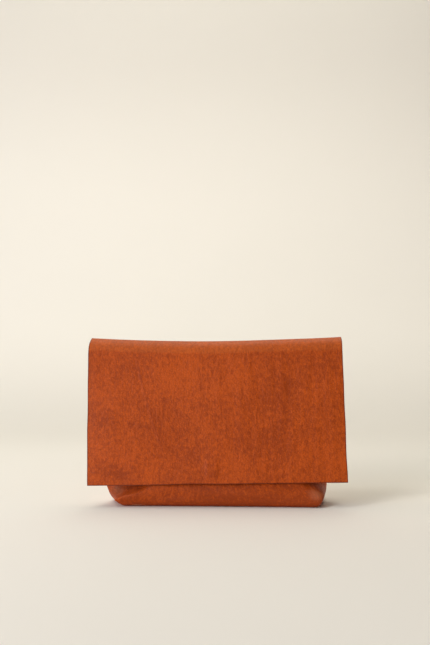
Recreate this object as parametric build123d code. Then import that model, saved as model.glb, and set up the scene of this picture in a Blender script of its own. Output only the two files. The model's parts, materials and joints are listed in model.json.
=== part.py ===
"""Leather flap pouch with a boxed flat bottom, a full-width flap and a hidden magnetic snap.

Millimetres. +Z is up, X runs across the width, the front faces -Y.
The origin is on the standing surface, under the middle of the whole outline.
"""

from build123d import *
import math
import os

# Hide: the flap keeps the full cut width, the pocket loses a seam allowance at each side.
leather = 1.6
cut_width = 260.0
seam_allowance = 5.0
panel_width = cut_width - 2 * seam_allowance
base_depth = 60.0

# Heights above the standing surface.
ridge_height = 168.0
lip_drop = 18.0
lip_height = ridge_height - lip_drop
flap_edge_height = 23.0
wall_height = flap_edge_height

# How far the side seams stand out past the flat base, as shares of half its depth:
# already at the floor, then over the boxed corners, and evenly from there up to the mouth.
floor_bulge = 0.32
corner_bulge = 0.28
corner_height = 6.0
mouth_flare = 0.35

# Fold over the top.
fold_radius = 10.0
lip_gap = 0.4
hinge_gap = 0.3

# Inner layers.
ply_gap = 0.3
facing_leather = 1.0
facing_depth = 25.0
facing_overlap = 5.0
lining = 0.8
lining_gap = 0.2
board = 2.0
board_clearance = 2.0

# Magnetic snap, behind the lower middle of the flap.
snap_height = 38.0
snap_offset = -5.0
snap_radius = 7.0
snap_hole_radius = 3.0
snap_wall = 0.4
socket_height = 2.0
magnet_clearance = 0.1
stud_plate = 0.8
stud_post_radius = 2.4
stud_post_height = 1.4
snap_gap = 0.45
washer = 0.5
prong_width = 3.0
prong_thickness = 0.5
prong_spacing = 4.0
prong_bend = 2.4
prong_clearance = 0.3
patch_floor = 1.0
patch_recess = 0.95
patch_width = 30.0
patch_length = 24.0

# Thread.
thread = 0.6
thread_proud = 0.25
thread_gap = 0.05
stitch_length = 3.0
seam_reach = 1.0
seam_relief = 2.5
stitch_pitch = 4.0
lip_stitch_inset = 4.0
facing_stitch_inset = 2.5

# The flap stands off the front by the stack of the closed snap.
snap_stack = patch_floor + patch_recess + stud_plate + snap_gap + socket_height
flap_drop = lip_height - flap_edge_height
flap_standoff = lip_gap + (snap_stack - lip_gap) * flap_drop / (lip_height - snap_height)

half_girth = panel_width / 2
half_depth = base_depth / 2
base_half_width = half_girth - half_depth
middle_y = (flap_standoff + leather) / 2
front_base_y = middle_y - half_depth
back_base_y = middle_y + half_depth
flap_edge_y = front_base_y - flap_standoff - leather
fold_z = ridge_height - fold_radius
mid_height = (wall_height + lip_height) / 2
hinge_half_angle = hinge_gap / 2 / fold_radius


def lean_to_fold(run, rise):
    """Lean of a straight wall that starts run and rise from the fold's centre and meets the fold smoothly."""
    return math.acos(fold_radius / math.hypot(run, rise)) - math.atan2(rise, run)


flap_lean = lean_to_fold(middle_y - flap_edge_y, fold_z - flap_edge_height)
back_lean = lean_to_fold(half_depth, fold_z - wall_height)


def flap_inner_y(z):
    """Where the flap's inner face stands at a height."""
    return flap_edge_y + leather / math.cos(flap_lean) + (z - flap_edge_height) * math.tan(flap_lean)


lip_y = flap_inner_y(lip_height) + lip_gap
front_lean = math.atan2(lip_y - front_base_y, lip_height - wall_height)


def front_depth(z):
    """Distance from the side seams' plane to the outer face of the front wall."""
    return half_depth - max(z - wall_height, 0) * math.tan(front_lean)


def back_depth(z):
    """Distance from the side seams' plane to the outer face of the back wall."""
    return half_depth - max(z - wall_height, 0) * math.tan(back_lean)


def seam_half_width(z):
    """Half the width at the side seams: tucked in at the boxed corners, open at the mouth."""
    bulge = floor_bulge + corner_bulge * (1 - math.exp(-z / corner_height))
    return base_half_width + half_depth * (bulge + mouth_flare * z / lip_height)


def face_half_width(z, depth):
    """Half the width of the flat face, so that the leather keeps its girth at every height."""
    seam = seam_half_width(z)
    return (half_girth**2 - seam**2 - depth**2) / (2 * (half_girth - seam))


def level_line(z, side, inset):
    """Right-hand corner and seam point of a wall at one of the break heights, moved inward by inset."""
    depth = back_depth(z) if side > 0 else front_depth(z)
    seam = seam_half_width(z)
    face = face_half_width(z, depth)
    seam_x = seam - inset * (half_girth - face) / depth
    corner_x = seam_x - (depth - inset) * (seam - face) / depth
    if inset > leather:
        seam_x -= seam_relief
    return (corner_x, middle_y + side * (depth - inset)), (seam_x, middle_y)


def wall_line(z, side, inset):
    """The same points at any height. Walls run straight between the break heights."""
    low = max(height for height in break_heights[:-1] if height <= z)
    high = min(height for height in break_heights if height > low)
    share = (z - low) / (high - low)
    ends = zip(level_line(low, side, inset), level_line(high, side, inset))
    return [tuple(p + share * (q - p) for p, q in zip(lower, upper)) for lower, upper in ends]


def levels_between(bottom, top):
    """Heights of the sections that a layer needs from its bottom to its top."""
    return [bottom] + [z for z in break_heights if bottom < z < top] + [top]


def ply_section(z, side, inset, thickness):
    """Cross-section of one wall layer from side seam to side seam."""
    corner, seam = wall_line(z, side, inset)
    inner_corner, inner_seam = wall_line(z, side, inset + thickness)
    return section(mirrored([corner, seam, inner_seam, inner_corner]), z)


def mirrored(right):
    """The given points and then their mirror images, back round to the first."""
    return right + [(-x, y) for x, y in reversed(right)]


def section(points, z):
    """Level face through the given (x, y) points."""
    return make_face(Polyline(*[(x, y, z) for x, y in points], close=True))


def stack(lower, bottom, upper, top):
    """Solid between two level outlines with matching points, its sides made of triangles."""
    low = [(x, y, bottom) for x, y in lower]
    high = [(x, y, top) for x, y in upper]
    faces = [section(lower, bottom), section(upper, top)]
    for i in range(len(low)):
        j = (i + 1) % len(low)
        faces.append(make_face(Polyline(low[i], low[j], high[i], close=True)))
        faces.append(make_face(Polyline(low[j], high[j], high[i], close=True)))
    return Solid(Shell([face.face() for face in faces]))


def ply(bottom, top, side, inset, thickness):
    """One wall layer through its sections, straight between them."""
    heights = levels_between(bottom, top)
    return loft([ply_section(z, side, inset, thickness) for z in heights], ruled=True)


def floor_plate(bottom, thickness, inset):
    """Flat layer that fills the bottom of the box, inset from the outer leather."""
    corner, seam = wall_line(bottom + thickness, 1, inset)
    half_y = half_depth - inset
    points = [(corner[0], half_y), (seam[0], 0), (corner[0], -half_y)]
    points += [(-x, y) for x, y in reversed(points)]
    shape = make_face(Polyline(*[(x, y, 0) for x, y in points], close=True))
    return Pos(0, middle_y, bottom) * extrude(shape, thickness)


def wall_plane(z, side, inset):
    """Plane on a wall's outer face, moved inward by inset. Its normal points out of the bag."""
    depth = back_depth(z) if side > 0 else front_depth(z)
    lean = back_lean if side > 0 else front_lean
    origin = (0, middle_y + side * (depth - inset), z)
    normal = (0, side * math.cos(lean), math.sin(lean))
    return Plane(origin=origin, x_dir=(-side, 0, 0), z_dir=normal)


def side_point(radius, angle, run=0.0):
    """Point at a radius and angle round the fold, moved on along the tangent by run."""
    y = middle_y + radius * math.cos(angle) - run * math.sin(angle)
    return (0, y, fold_z + radius * math.sin(angle) + run * math.cos(angle))


def across(edges):
    """Solid of the full cut width from its closed side outline."""
    return extrude(make_face(edges), cut_width / 2, dir=(1, 0, 0), both=True)


def fold_arch(start, end):
    """Part of the rounded fold, from one angle to another."""
    inner = fold_radius - leather
    outside = [side_point(fold_radius, a) for a in (start, (start + end) / 2, end)]
    inside = [side_point(inner, a) for a in (end, (start + end) / 2, start)]
    edges = ThreePointArc(*outside) + Line(outside[2], inside[0])
    edges += ThreePointArc(*inside) + Line(inside[2], outside[0])
    return across(edges)


def prong_pair(grow, length):
    """The two legs of a snap half, pointing down from its back face, grown all round for a slot."""
    legs = []
    for end in (-1, 1):
        leg = Box(prong_width + 2 * grow, prong_thickness + 2 * grow, length)
        legs.append(Pos(0, end * prong_spacing, -length / 2) * leg)
    return legs


def snap_legs(through):
    """Legs through a layer and its washer, with their ends bent flat behind the washer."""
    reach = through + washer
    legs = prong_pair(0, reach)
    for end in (-1, 1):
        tip = Box(prong_width, prong_bend, snap_wall)
        middle = end * (prong_spacing - prong_thickness / 2 + prong_bend / 2)
        legs.append(Pos(0, middle, -reach - snap_wall / 2) * tip)
    return legs


def snap_washer(through):
    """Backing plate with a slot for each leg, lying behind the layer."""
    plate = Pos(0, 0, -through - washer / 2) * Cylinder(snap_radius, washer)
    return plate - prong_pair(prong_clearance, through + 2 * washer)


def stitch_row(plane, half_run):
    """Stitches lying along the plane's X, just proud of it."""
    count = int(2 * half_run / stitch_pitch)
    stitches = []
    for i in range(count):
        x = (i - (count - 1) / 2) * stitch_pitch
        stitch = Pos(x, 0, thread_gap + thread_proud / 2) * Box(stitch_length, thread, thread_proud)
        stitches.append(plane * stitch)
    return Compound(children=stitches)


# Layer positions.
facing_inset = leather + ply_gap
lining_inset = facing_inset + facing_leather + lining_gap
board_bottom = leather + ply_gap
lining_floor = board_bottom + board + ply_gap
lining_bottom = lining_floor + lining
facing_bottom = lip_height - facing_depth
lining_top = facing_bottom + facing_overlap
break_heights = [leather, corner_height, wall_height, mid_height, facing_bottom, lip_height]

# Snap planes: both halves sit square to their own leather, on axes that meet between them.
snap_middle_y = (middle_y - front_depth(snap_height) + flap_inner_y(snap_height)) / 2
front_to_middle = (middle_y - front_depth(snap_height) - snap_middle_y) * math.cos(front_lean)
flap_to_middle = (snap_middle_y - flap_inner_y(snap_height)) * math.cos(flap_lean)
socket_plane = Plane(
    origin=(
        snap_offset,
        snap_middle_y + front_to_middle * math.cos(front_lean),
        snap_height - front_to_middle * math.sin(front_lean),
    ),
    x_dir=(1, 0, 0),
    z_dir=(0, -math.cos(front_lean), math.sin(front_lean)),
)
flap_plane = Plane(
    origin=(
        snap_offset,
        snap_middle_y - flap_to_middle * math.cos(flap_lean),
        snap_height + flap_to_middle * math.sin(flap_lean),
    ),
    x_dir=(1, 0, 0),
    z_dir=(0, math.cos(flap_lean), -math.sin(flap_lean)),
)


def front_panel():
    wall = ply(leather, lip_height, -1, 0, leather)
    slots = [socket_plane * leg for leg in prong_pair(prong_clearance, 2 * leather)]
    return wall - slots


def shoulders():
    """Where the back wall flattens out above its side seams to the cut width of the fold."""
    corner, seam = wall_line(lip_height, 1, 0)
    inner_corner, inner_seam = wall_line(lip_height, 1, leather)
    outer = middle_y + fold_radius
    half = cut_width / 2
    lower = mirrored([corner, seam, inner_seam, inner_corner])
    straight = [(corner[0], outer), (half, outer), (half, outer - leather), (inner_corner[0], outer - leather)]
    return stack(lower, lip_height, mirrored(straight), fold_z)


def back_panel():
    """Back wall, its shoulders and the rear half of the fold."""
    wall = ply(leather, lip_height, 1, 0, leather)
    return wall + shoulders() + fold_arch(0, math.pi / 2 - hinge_half_angle)


def base_panel():
    return floor_plate(0, leather, 0)


def base_board():
    """Stiffener that keeps the bottom flat, short of the corner seams."""
    half_x = wall_line(board_bottom + board, 1, leather)[0][0] - board_clearance
    half_y = half_depth - leather - ply_gap
    plate = Box(2 * half_x, 2 * half_y, board)
    return Pos(0, middle_y, board_bottom + board / 2) * plate


def lining_floor_sheet():
    return floor_plate(lining_floor, lining, lining_inset)


def side_stitching(side):
    """Stitches that tie the two walls together just inside a side seam."""
    stitches = []
    count = int((lip_height - corner_height - 2 * stitch_pitch) / stitch_pitch)
    for i in range(count):
        z = corner_height + (i + 1) * stitch_pitch
        ends = [z + share * stitch_length for share in (-0.5, 0.5)]
        seam_x = min(wall_line(end, wall, leather)[1][0] for end in ends for wall in (-1, 1))
        bar = seam_stitch(z, seam_reach)
        stitches.append(Pos(side * (seam_x - seam_reach - thread / 2), middle_y, z) * bar)
    return Compound(children=stitches)


def seam_stitch(z, reach):
    """Short bar of thread that fits the wedge between the walls, reach inside the seam."""
    slopes = []
    for side in (-1, 1):
        for end in (z - stitch_length / 2, z + stitch_length / 2):
            corner, seam = wall_line(end, side, leather)
            slopes.append(abs(corner[1] - seam[1]) / (seam[0] - corner[0]))
    return Box(thread, reach * min(slopes), stitch_length)


def corner_stitching(side):
    """Stitches along the short seam at the foot of a boxed corner."""
    wall_x = wall_line(leather + thread, 1, leather)[0][0]
    half_run = half_depth - leather - stitch_pitch
    count = int(2 * half_run / stitch_pitch)
    stitches = []
    for i in range(count):
        y = middle_y + (i - (count - 1) / 2) * stitch_pitch
        x = side * (wall_x - thread)
        stitches.append(Pos(x, y, leather + thread_gap + thread / 2) * Box(thread, stitch_length, thread))
    return Compound(children=stitches)


def snap_socket():
    """Holed half: a folded metal case with two legs."""
    case = Pos(0, 0, socket_height / 2) * Cylinder(snap_radius, socket_height)
    case -= Cylinder(snap_hole_radius, 4 * socket_height)
    cavity = Cylinder(snap_radius - snap_wall, socket_height - 2 * snap_wall)
    case -= Pos(0, 0, socket_height / 2) * cavity
    return socket_plane * (case + snap_legs(leather))


def snap_magnet():
    height = socket_height - 2 * snap_wall - 2 * magnet_clearance
    ring = Cylinder(snap_radius - snap_wall - magnet_clearance, height)
    ring -= Cylinder(snap_hole_radius + magnet_clearance, 2 * height)
    return socket_plane * (Pos(0, 0, socket_height / 2) * ring)


def flap_panel():
    """The front half of the fold and the full-width plate that hangs from it."""
    end = math.pi - flap_lean
    length = (side_point(fold_radius, end)[2] - flap_edge_height) / math.cos(flap_lean)
    inner = fold_radius - leather
    corners = [side_point(fold_radius, end), side_point(fold_radius, end, length)]
    corners += [side_point(inner, end, length), side_point(inner, end)]
    plate = across(Polyline(*corners, close=True))
    return plate + fold_arch(math.pi / 2 + hinge_half_angle, end)


def stud_plane():
    return flap_plane * Pos(0, 0, patch_recess + patch_floor)


def snap_patch():
    """Leather patch inside the flap that holds the stud and covers its washer."""
    height = patch_recess + patch_floor
    patch = Pos(0, 0, height / 2) * Box(patch_width, patch_length, height)
    patch -= Cylinder(snap_radius + ply_gap, 2 * patch_recess)
    patch -= [Pos(0, 0, height) * leg for leg in prong_pair(prong_clearance, 2 * height)]
    return flap_plane * patch


def snap_stud():
    plate = Pos(0, 0, stud_plate / 2) * Cylinder(snap_radius, stud_plate)
    post = Pos(0, 0, stud_plate + stud_post_height / 2) * Cylinder(stud_post_radius, stud_post_height)
    return stud_plane() * (plate + post + snap_legs(patch_floor))


def facing_stitching(side):
    z = facing_bottom + facing_stitch_inset
    plane = wall_plane(z, side, lining_inset + lining)
    inward = Plane(origin=plane.origin, x_dir=plane.x_dir, z_dir=-plane.z_dir)
    depth = back_depth(z) if side > 0 else front_depth(z)
    return stitch_row(inward, face_half_width(z, depth) - stitch_pitch)


def lip_stitching():
    z = lip_height - lip_stitch_inset
    return stitch_row(wall_plane(z, -1, 0), face_half_width(z, front_depth(z)) - stitch_pitch)


nodes = {
    "front_panel": front_panel(),
    "back_panel": back_panel(),
    "base_panel": base_panel(),
    "base_board": base_board(),
    "lining_front": ply(lining_bottom, lining_top, -1, lining_inset, lining),
    "lining_back": ply(lining_bottom, lining_top, 1, lining_inset, lining),
    "lining_base": lining_floor_sheet(),
    "front_facing": ply(facing_bottom, lip_height, -1, facing_inset, facing_leather),
    "back_facing": ply(facing_bottom, lip_height, 1, facing_inset, facing_leather),
    "lip_stitching": lip_stitching(),
    "facing_stitching_front": facing_stitching(-1),
    "facing_stitching_back": facing_stitching(1),
    "side_stitching_left": side_stitching(-1),
    "side_stitching_right": side_stitching(1),
    "corner_stitching_left": corner_stitching(-1),
    "corner_stitching_right": corner_stitching(1),
    "snap_socket": snap_socket(),
    "snap_magnet": snap_magnet(),
    "socket_washer": socket_plane * snap_washer(leather),
    "flap_panel": flap_panel(),
    "snap_patch": snap_patch(),
    "snap_stud": snap_stud(),
    "stud_washer": stud_plane() * snap_washer(patch_floor),
}

os.makedirs("parts", exist_ok=True)
for name, shape in nodes.items():
    export_step(shape, f"parts/{name}.step")
print("hinge axis", round(middle_y, 3), ridge_height, "leans", [
    round(math.degrees(a), 2) for a in (flap_lean, front_lean, back_lean)])
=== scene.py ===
"""Leather flap pouch: detailed hide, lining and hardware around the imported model.

Shapes are worked out in millimetres and turned into metres when a mesh is made. X runs across the width,
the front faces -Y and +Z is up. A hide is laid out flat first: `cut` runs across it and `run` along it.
"""

import json
import math

import bpy
import numpy as np
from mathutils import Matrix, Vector, noise


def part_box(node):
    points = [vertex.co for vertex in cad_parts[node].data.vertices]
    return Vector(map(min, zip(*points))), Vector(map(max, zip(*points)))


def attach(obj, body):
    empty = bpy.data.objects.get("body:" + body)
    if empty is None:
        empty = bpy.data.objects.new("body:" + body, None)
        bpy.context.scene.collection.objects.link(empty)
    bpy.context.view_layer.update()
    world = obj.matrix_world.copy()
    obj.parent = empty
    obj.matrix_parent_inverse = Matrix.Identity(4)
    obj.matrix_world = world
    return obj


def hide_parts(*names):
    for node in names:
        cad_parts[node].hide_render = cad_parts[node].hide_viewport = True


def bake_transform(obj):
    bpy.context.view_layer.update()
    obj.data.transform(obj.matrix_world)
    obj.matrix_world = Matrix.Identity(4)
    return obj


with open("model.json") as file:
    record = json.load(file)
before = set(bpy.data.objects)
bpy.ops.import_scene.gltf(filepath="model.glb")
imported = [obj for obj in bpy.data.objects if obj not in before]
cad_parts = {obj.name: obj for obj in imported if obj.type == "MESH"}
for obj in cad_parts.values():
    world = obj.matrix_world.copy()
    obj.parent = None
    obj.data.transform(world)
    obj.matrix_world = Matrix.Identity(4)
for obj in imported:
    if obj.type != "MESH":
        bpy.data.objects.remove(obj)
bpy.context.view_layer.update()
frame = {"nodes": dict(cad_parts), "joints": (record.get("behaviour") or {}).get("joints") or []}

MM = 0.001
METRE = 1000.0

# ---------------------------------------------------------------- sizes


def node_box(node):
    """Lowest and highest corner of a CAD node, in millimetres."""
    low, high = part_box(node)
    return np.array(low) * METRE, np.array(high) * METRE


hinge = np.array(frame["joints"][0]["pos_m"]) * METRE
flap_low, flap_high = node_box("flap_panel")
front_high = node_box("front_panel")[1]
back_high = node_box("back_panel")[1]

seam_y = hinge[1]
ridge_z = hinge[2]
half_cut = flap_high[0]
lip_z = front_high[2]
half_depth = back_high[1] - seam_y
flap_edge_z = flap_low[2]
flap_edge_y = flap_low[1]

LEATHER = 1.6
SEAM_ALLOWANCE = 5.0
FOLD_RADIUS = 10.0
RIDGE_SAG = 1.6
RIDGE_RISE = 1.7
RIDGE_HIGH_SIDE = 1.3
LIP_GAP = 0.4
FLOOR_BULGE = 0.32
CORNER_BULGE = 0.28
CORNER_HEIGHT = 6.0
MOUTH_FLARE = 0.35
BOTTOM_ROUND = 7.0
UNDER_TURN = 11.0
# Each corner's reach, the height where it is greatest and how far up and down it fades.
LEFT_SWELL = (2.4, 20.0, 11.0)
RIGHT_SWELL = (1.1, 3.0, 12.0)
LEFT_EAR = (19.0, 8.5, 6.5)
RIGHT_EAR = (26.0, 13.0, 13.0)
CREST_ROUND = 3.2
RIGHT_CREST_ROUND = 11.0
FRONT_STEP_OUT = 8.0
STEP_TOP = 38.0
STEP_BOTTOM = 4.0
SEAM_ROUND = 1.5
SHOULDER_BOTTOM = 147.0
FLAP_TILT = 0.014
FLAP_SHIFT = 2.2
FLAP_SPREAD = 0.0062
HEM_TILT = 0.0125
FLAP_SHORT = 1.6
SNAP_MARK_CUT = -6.0
SNAP_MARK_HALF = 5.5
VEIN_CUT = -81.0
VEIN_SLOPE = 0.17
VEIN_CURVE = 0.001

half_girth = half_cut - SEAM_ALLOWANCE
base_half_width = half_girth - half_depth
wall_z = flap_edge_z
fold_z = ridge_z - FOLD_RADIUS


def lean_to_fold(run, rise):
    """Lean of a straight wall that starts run and rise from the fold's centre and meets the fold smoothly."""
    return math.acos(FOLD_RADIUS / math.hypot(run, rise)) - math.atan2(rise, run)


flap_lean = lean_to_fold(seam_y - flap_edge_y, fold_z - flap_edge_z)
back_lean = lean_to_fold(half_depth, fold_z - wall_z)
flap_inner_at_lip = flap_edge_y + LEATHER / math.cos(flap_lean) + (lip_z - flap_edge_z) * math.tan(flap_lean)
front_lean = math.atan2(flap_inner_at_lip + LIP_GAP - (seam_y - half_depth), lip_z - wall_z)


# ---------------------------------------------------------------- shaping helpers


def smoothstep(low, high, value):
    t = np.clip((value - low) / (high - low), 0.0, 1.0)
    return t * t * (3.0 - 2.0 * t)


def ramp(value, width):
    """Zero below 0 and value above it, rounded over plus or minus width."""
    middle = (value + width) ** 2 / (4.0 * width)
    return np.where(value <= -width, 0.0, np.where(value >= width, value, middle))


def bump(value, centre, width):
    return np.exp(-(((value - centre) / width) ** 2))


def wobble(cut, run, seed, wave_cut, wave_run):
    """Smooth noise over the laid-out hide, about -1 to 1, with a wavelength each way in millimetres."""
    cut, run = np.broadcast_arrays(cut, run)
    out = np.empty(cut.size)
    for i, (c, r) in enumerate(zip(cut.ravel(), run.ravel())):
        out[i] = noise.noise(Vector((c / wave_cut, r / wave_run, seed)))
    return out.reshape(cut.shape) * 1.6


# ---------------------------------------------------------------- the walls


def wall_depth(z, lean):
    return half_depth - ramp(z - wall_z, 8.0) * math.tan(lean)


def wall_sizes(cut, z, depth):
    """Half width at the side seam and half width of the flat face, for a wall of constant girth."""
    bulge = FLOOR_BULGE + CORNER_BULGE * (1.0 - np.exp(-z / CORNER_HEIGHT))
    seam = base_half_width + half_depth * (bulge + MOUTH_FLARE * z / lip_z)
    left_swell = LEFT_SWELL[0] * bump(z, *LEFT_SWELL[1:])
    right_swell = RIGHT_SWELL[0] * bump(z, *RIGHT_SWELL[1:])
    seam = seam + np.where(cut < 0.0, left_swell, right_swell)
    crest = (half_girth**2 - seam**2 - depth**2) / (2.0 * (half_girth - seam))
    return seam, crest


def wall_rise(run):
    """Height and inset for a place along a wall, which turns under the bag below run = 0."""
    quarter = BOTTOM_ROUND * math.pi / 2
    angle = np.clip(run / BOTTOM_ROUND, 0.0, math.pi / 2)
    z = BOTTOM_ROUND * (1.0 - np.cos(angle)) + np.maximum(run - quarter, 0.0)
    inset = BOTTOM_ROUND * (1.0 - np.sin(angle)) + np.maximum(-run, 0.0)
    return z, inset


def run_at(z):
    """Place along a wall that stands at a height above the rounded bottom edge."""
    return z - BOTTOM_ROUND + BOTTOM_ROUND * math.pi / 2


def front_step(cut, z):
    """How far the foot of the front stands forward, growing towards the right."""
    rightward = np.clip(0.5 + 0.5 * cut / base_half_width, 0.0, 1.0) ** 1.5
    return FRONT_STEP_OUT * smoothstep(STEP_TOP, STEP_BOTTOM, z) * rightward


def wall_place(cut, run, side, lean, seed):
    """Outer face of the front (side -1) or back (side 1) wall."""
    z, inset = wall_rise(run)
    depth = wall_depth(z, lean)
    seam, crest = wall_sizes(cut, z, depth)
    left, right = cut < 0.0, cut >= 0.0
    ear = left * LEFT_EAR[0] * bump(z, *LEFT_EAR[1:]) + right * RIGHT_EAR[0] * bump(z, *RIGHT_EAR[1:])
    narrow = inset * smoothstep(0.0, UNDER_TURN, inset)
    crest = np.clip(crest + ear, 40.0, seam - 2.0) - narrow
    if side < 0:
        depth = depth + front_step(cut, z)
    depth = depth - inset
    seam = seam - narrow
    slant = np.hypot(seam - crest, depth)
    across = np.abs(cut) / half_girth
    total = crest + slant
    along = np.where(across <= 1.0, across * total, total + (across - 1.0) * half_girth)
    slope_x = (seam - crest) / slant
    slope_y = depth / slant
    crest_round = CREST_ROUND + right * (RIGHT_CREST_ROUND - CREST_ROUND) * smoothstep(4.0, 14.0, z)
    crest_round = crest_round - left * 1.7 * smoothstep(6.0, 1.0, z)
    corner = ramp(along - crest, crest_round)
    turned = ramp(along - total, SEAM_ROUND)
    x = along - corner * (1.0 - slope_x) - turned * (1.0 + slope_x)
    y = depth - (corner - turned) * slope_y
    face = smoothstep(0.0, 18.0, total - along) * smoothstep(1.0, 12.0, z)
    lower = smoothstep(60.0, 20.0, z)
    crumple = wobble(cut, run, seed, 34.0, 13.0) * 0.9 * lower
    crumple = crumple + wobble(cut, run, seed + 5.0, 60.0, 45.0) * 0.8
    if side < 0:
        crumple = crumple * (1.0 - bump(cut, 0.0, 22.0) * bump(z, snap_z, 16.0)) + front_creases(cut, z)
    y = y + crumple * face * smoothstep(lip_z + 8.0, lip_z - 25.0, z)
    y = np.maximum(y, 0.15)
    return np.sign(cut) * x, seam_y + side * y, z + 0.0 * cut


def front_creases(cut, z):
    """The pull of the stiff boxed corners on the soft front, and its belly over the bottom edge."""
    left_dent = -1.0 * bump(cut, -84.0, 16.0) * bump(z, 27.0, 9.0)
    left_fold = -1.3 * bump(cut - 1.3 * z, -120.0, 4.0) * bump(z, 12.0, 8.0)
    belly = 1.9 * bump(z, 17.0, 8.5) * smoothstep(110.0, 20.0, cut)
    return left_dent + left_fold + belly


FOLD_TURN = (
    (0.0, 0.0),
    (0.16, 30.0),
    (0.34, 84.0),
    (0.42, 112.0),
    (0.62, 128.0),
    (0.72, 150.0),
    (0.84, 166.0),
    (1.0, 180.0),
)


def fold_profile():
    """How far forward and up the fold has gone at each share of its length, and its length."""
    share = np.linspace(0.0, 1.0, 401)
    turn = np.interp(share, [t for t, _ in FOLD_TURN], [a for _, a in FOLD_TURN])
    soft = np.convolve(np.pad(turn, 20, mode="edge"), np.ones(41) / 41, mode="valid")
    facing = back_lean + np.radians(soft) / math.pi * (math.pi - flap_lean - back_lean)
    step = share[1] - share[0]
    forward = np.concatenate([[0.0], np.cumsum(np.sin((facing[1:] + facing[:-1]) / 2)) * step])
    up = np.concatenate([[0.0], np.cumsum(np.cos((facing[1:] + facing[:-1]) / 2)) * step])
    length = FOLD_RADIUS * (math.cos(back_lean) + math.cos(flap_lean)) / forward[-1]
    return share, forward * length, up * length, length


def back_place(cut, run):
    """Outer face of the hide that makes the back wall, the fold and the flap, from the bottom up and over."""
    x, y, z = wall_place(cut, np.minimum(run, wall_top), 1, back_lean, 21.0)
    past = run - wall_top
    hang = np.maximum(past - fold_length, 0.0)
    share = np.clip(past / fold_length, 0.0, 1.0)
    forward = np.interp(share, fold_share, fold_forward) + hang * math.sin(flap_lean)
    up = np.interp(share, fold_share, fold_up) - hang * math.cos(flap_lean)
    below = np.maximum(-past, 0.0)
    flat_y = seam_y + FOLD_RADIUS * math.cos(back_lean) - forward + below * math.sin(back_lean)
    flat_z = ridge_z + ridge_lift(cut) - fold_up.max() + up - below * math.cos(back_lean)
    flat_x = cut + 0.0 * run
    spread = smoothstep(run_at(SHOULDER_BOTTOM), wall_top, run)
    x = x + (flat_x - x) * spread
    y = y + (flat_y - y) * spread
    z = z + (flat_z - z) * spread
    upper = smoothstep(-30.0, fold_length, past)
    return flap_shape(cut, past, hang, upper, x, y, z)


def ridge_lift(cut):
    """The ridge sags in the middle and stands higher on the right."""
    ends = (RIDGE_SAG + RIDGE_RISE) * (np.abs(cut) / half_cut) ** 2.2
    return ends - RIDGE_SAG + RIDGE_HIGH_SIDE * smoothstep(-20.0, 85.0, cut)


def flap_shape(cut, past, hang, upper, x, y, z):
    """The hanging front of the flap: askew, softly bellied, with its creases and the mark of the snap."""
    low = hang / flap_length
    out = 1.3 * np.sin(np.pi * np.clip(low, 0, 1)) * (1.0 - 0.35 * (cut / half_cut) ** 2)
    out = out - 1.6 * smoothstep(0.45, 1.0, low) * smoothstep(60.0, 130.0, np.abs(cut))
    rolling = wobble(cut, hang, 3.0, 70.0, 90.0) * 0.8 + wobble(cut, hang, 8.0, 24.0, 42.0) * 0.28
    drawn = wobble(cut, hang, 13.0, 7.0, 60.0) * 0.24 * smoothstep(-30.0, 50.0, cut)
    near_snap = bump(cut, SNAP_MARK_CUT, 22.0) * bump(hang, snap_mark_hang, 24.0)
    out = out + (rolling + drawn) * smoothstep(0.0, 12.0, hang) * (1.0 - 0.8 * near_snap)
    out = out + flap_vein(cut, hang) + snap_mark(cut, hang)
    edge = half_cut - np.abs(cut)
    curl = smoothstep(9.0, 0.0, edge) * 0.5 * smoothstep(0.0, 30.0, hang)
    out = out - curl
    tilt = smoothstep(0.0, 25.0, hang)
    x = x * (1.0 + FLAP_SPREAD * upper) + upper * (FLAP_TILT * hang - FLAP_SHIFT)
    x = x + 1.7 * bump(past, 0.3 * fold_length, 14.0) * smoothstep(-60.0, -130.0, cut)
    x = x + 0.9 * smoothstep(0.75, 1.0, low) * smoothstep(-60.0, -130.0, cut)
    z = z + tilt * HEM_TILT * cut + tilt * low * (FLAP_SHORT - ridge_lift(cut))
    waver = wobble(cut, 0.0 * hang, 31.0, 55.0, 1.0) * 0.4 * smoothstep(0.8, 1.0, low)
    side_waver = wobble(0.0 * cut, hang, 37.0, 1.0, 38.0) * 0.5 * smoothstep(20.0, 0.0, edge)
    x = x + side_waver * np.sign(cut) * smoothstep(0.0, 15.0, hang)
    return x, y - out * math.cos(flap_lean), z + waver + out * math.sin(flap_lean)


def flap_vein(cut, hang):
    """A faint long growth line in the hide, down the left of the flap."""
    path = VEIN_CUT + VEIN_SLOPE * hang + VEIN_CURVE * hang**2
    along = smoothstep(2.0, 16.0, hang) * smoothstep(118.0, 85.0, hang)
    return 0.17 * bump(cut, path, 1.3) * along - 0.14 * bump(cut, path - 2.8, 1.6) * along


def snap_mark(cut, hang):
    """The low plateau that the hidden snap presses into the flap."""
    wide = smoothstep(-SNAP_MARK_HALF - 0.8, -SNAP_MARK_HALF + 0.4, cut - SNAP_MARK_CUT)
    wide = wide * smoothstep(SNAP_MARK_HALF + 3.0, SNAP_MARK_HALF - 1.0, cut - SNAP_MARK_CUT)
    tall = bump(hang, snap_mark_hang, 9.5)
    return 1.0 * wide * tall


snap_low, snap_high = node_box("snap_stud")
snap_z = (snap_low[2] + snap_high[2]) / 2
fold_share, fold_forward, fold_up, fold_length = fold_profile()
wall_top = run_at(ridge_z - fold_up.max())
flap_top_z = ridge_z - fold_up.max() + fold_up[-1]
flap_length = (flap_top_z - flap_edge_z) / math.cos(flap_lean)
snap_mark_hang = (flap_top_z - snap_z) / math.cos(flap_lean)


# ---------------------------------------------------------------- meshes


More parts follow.
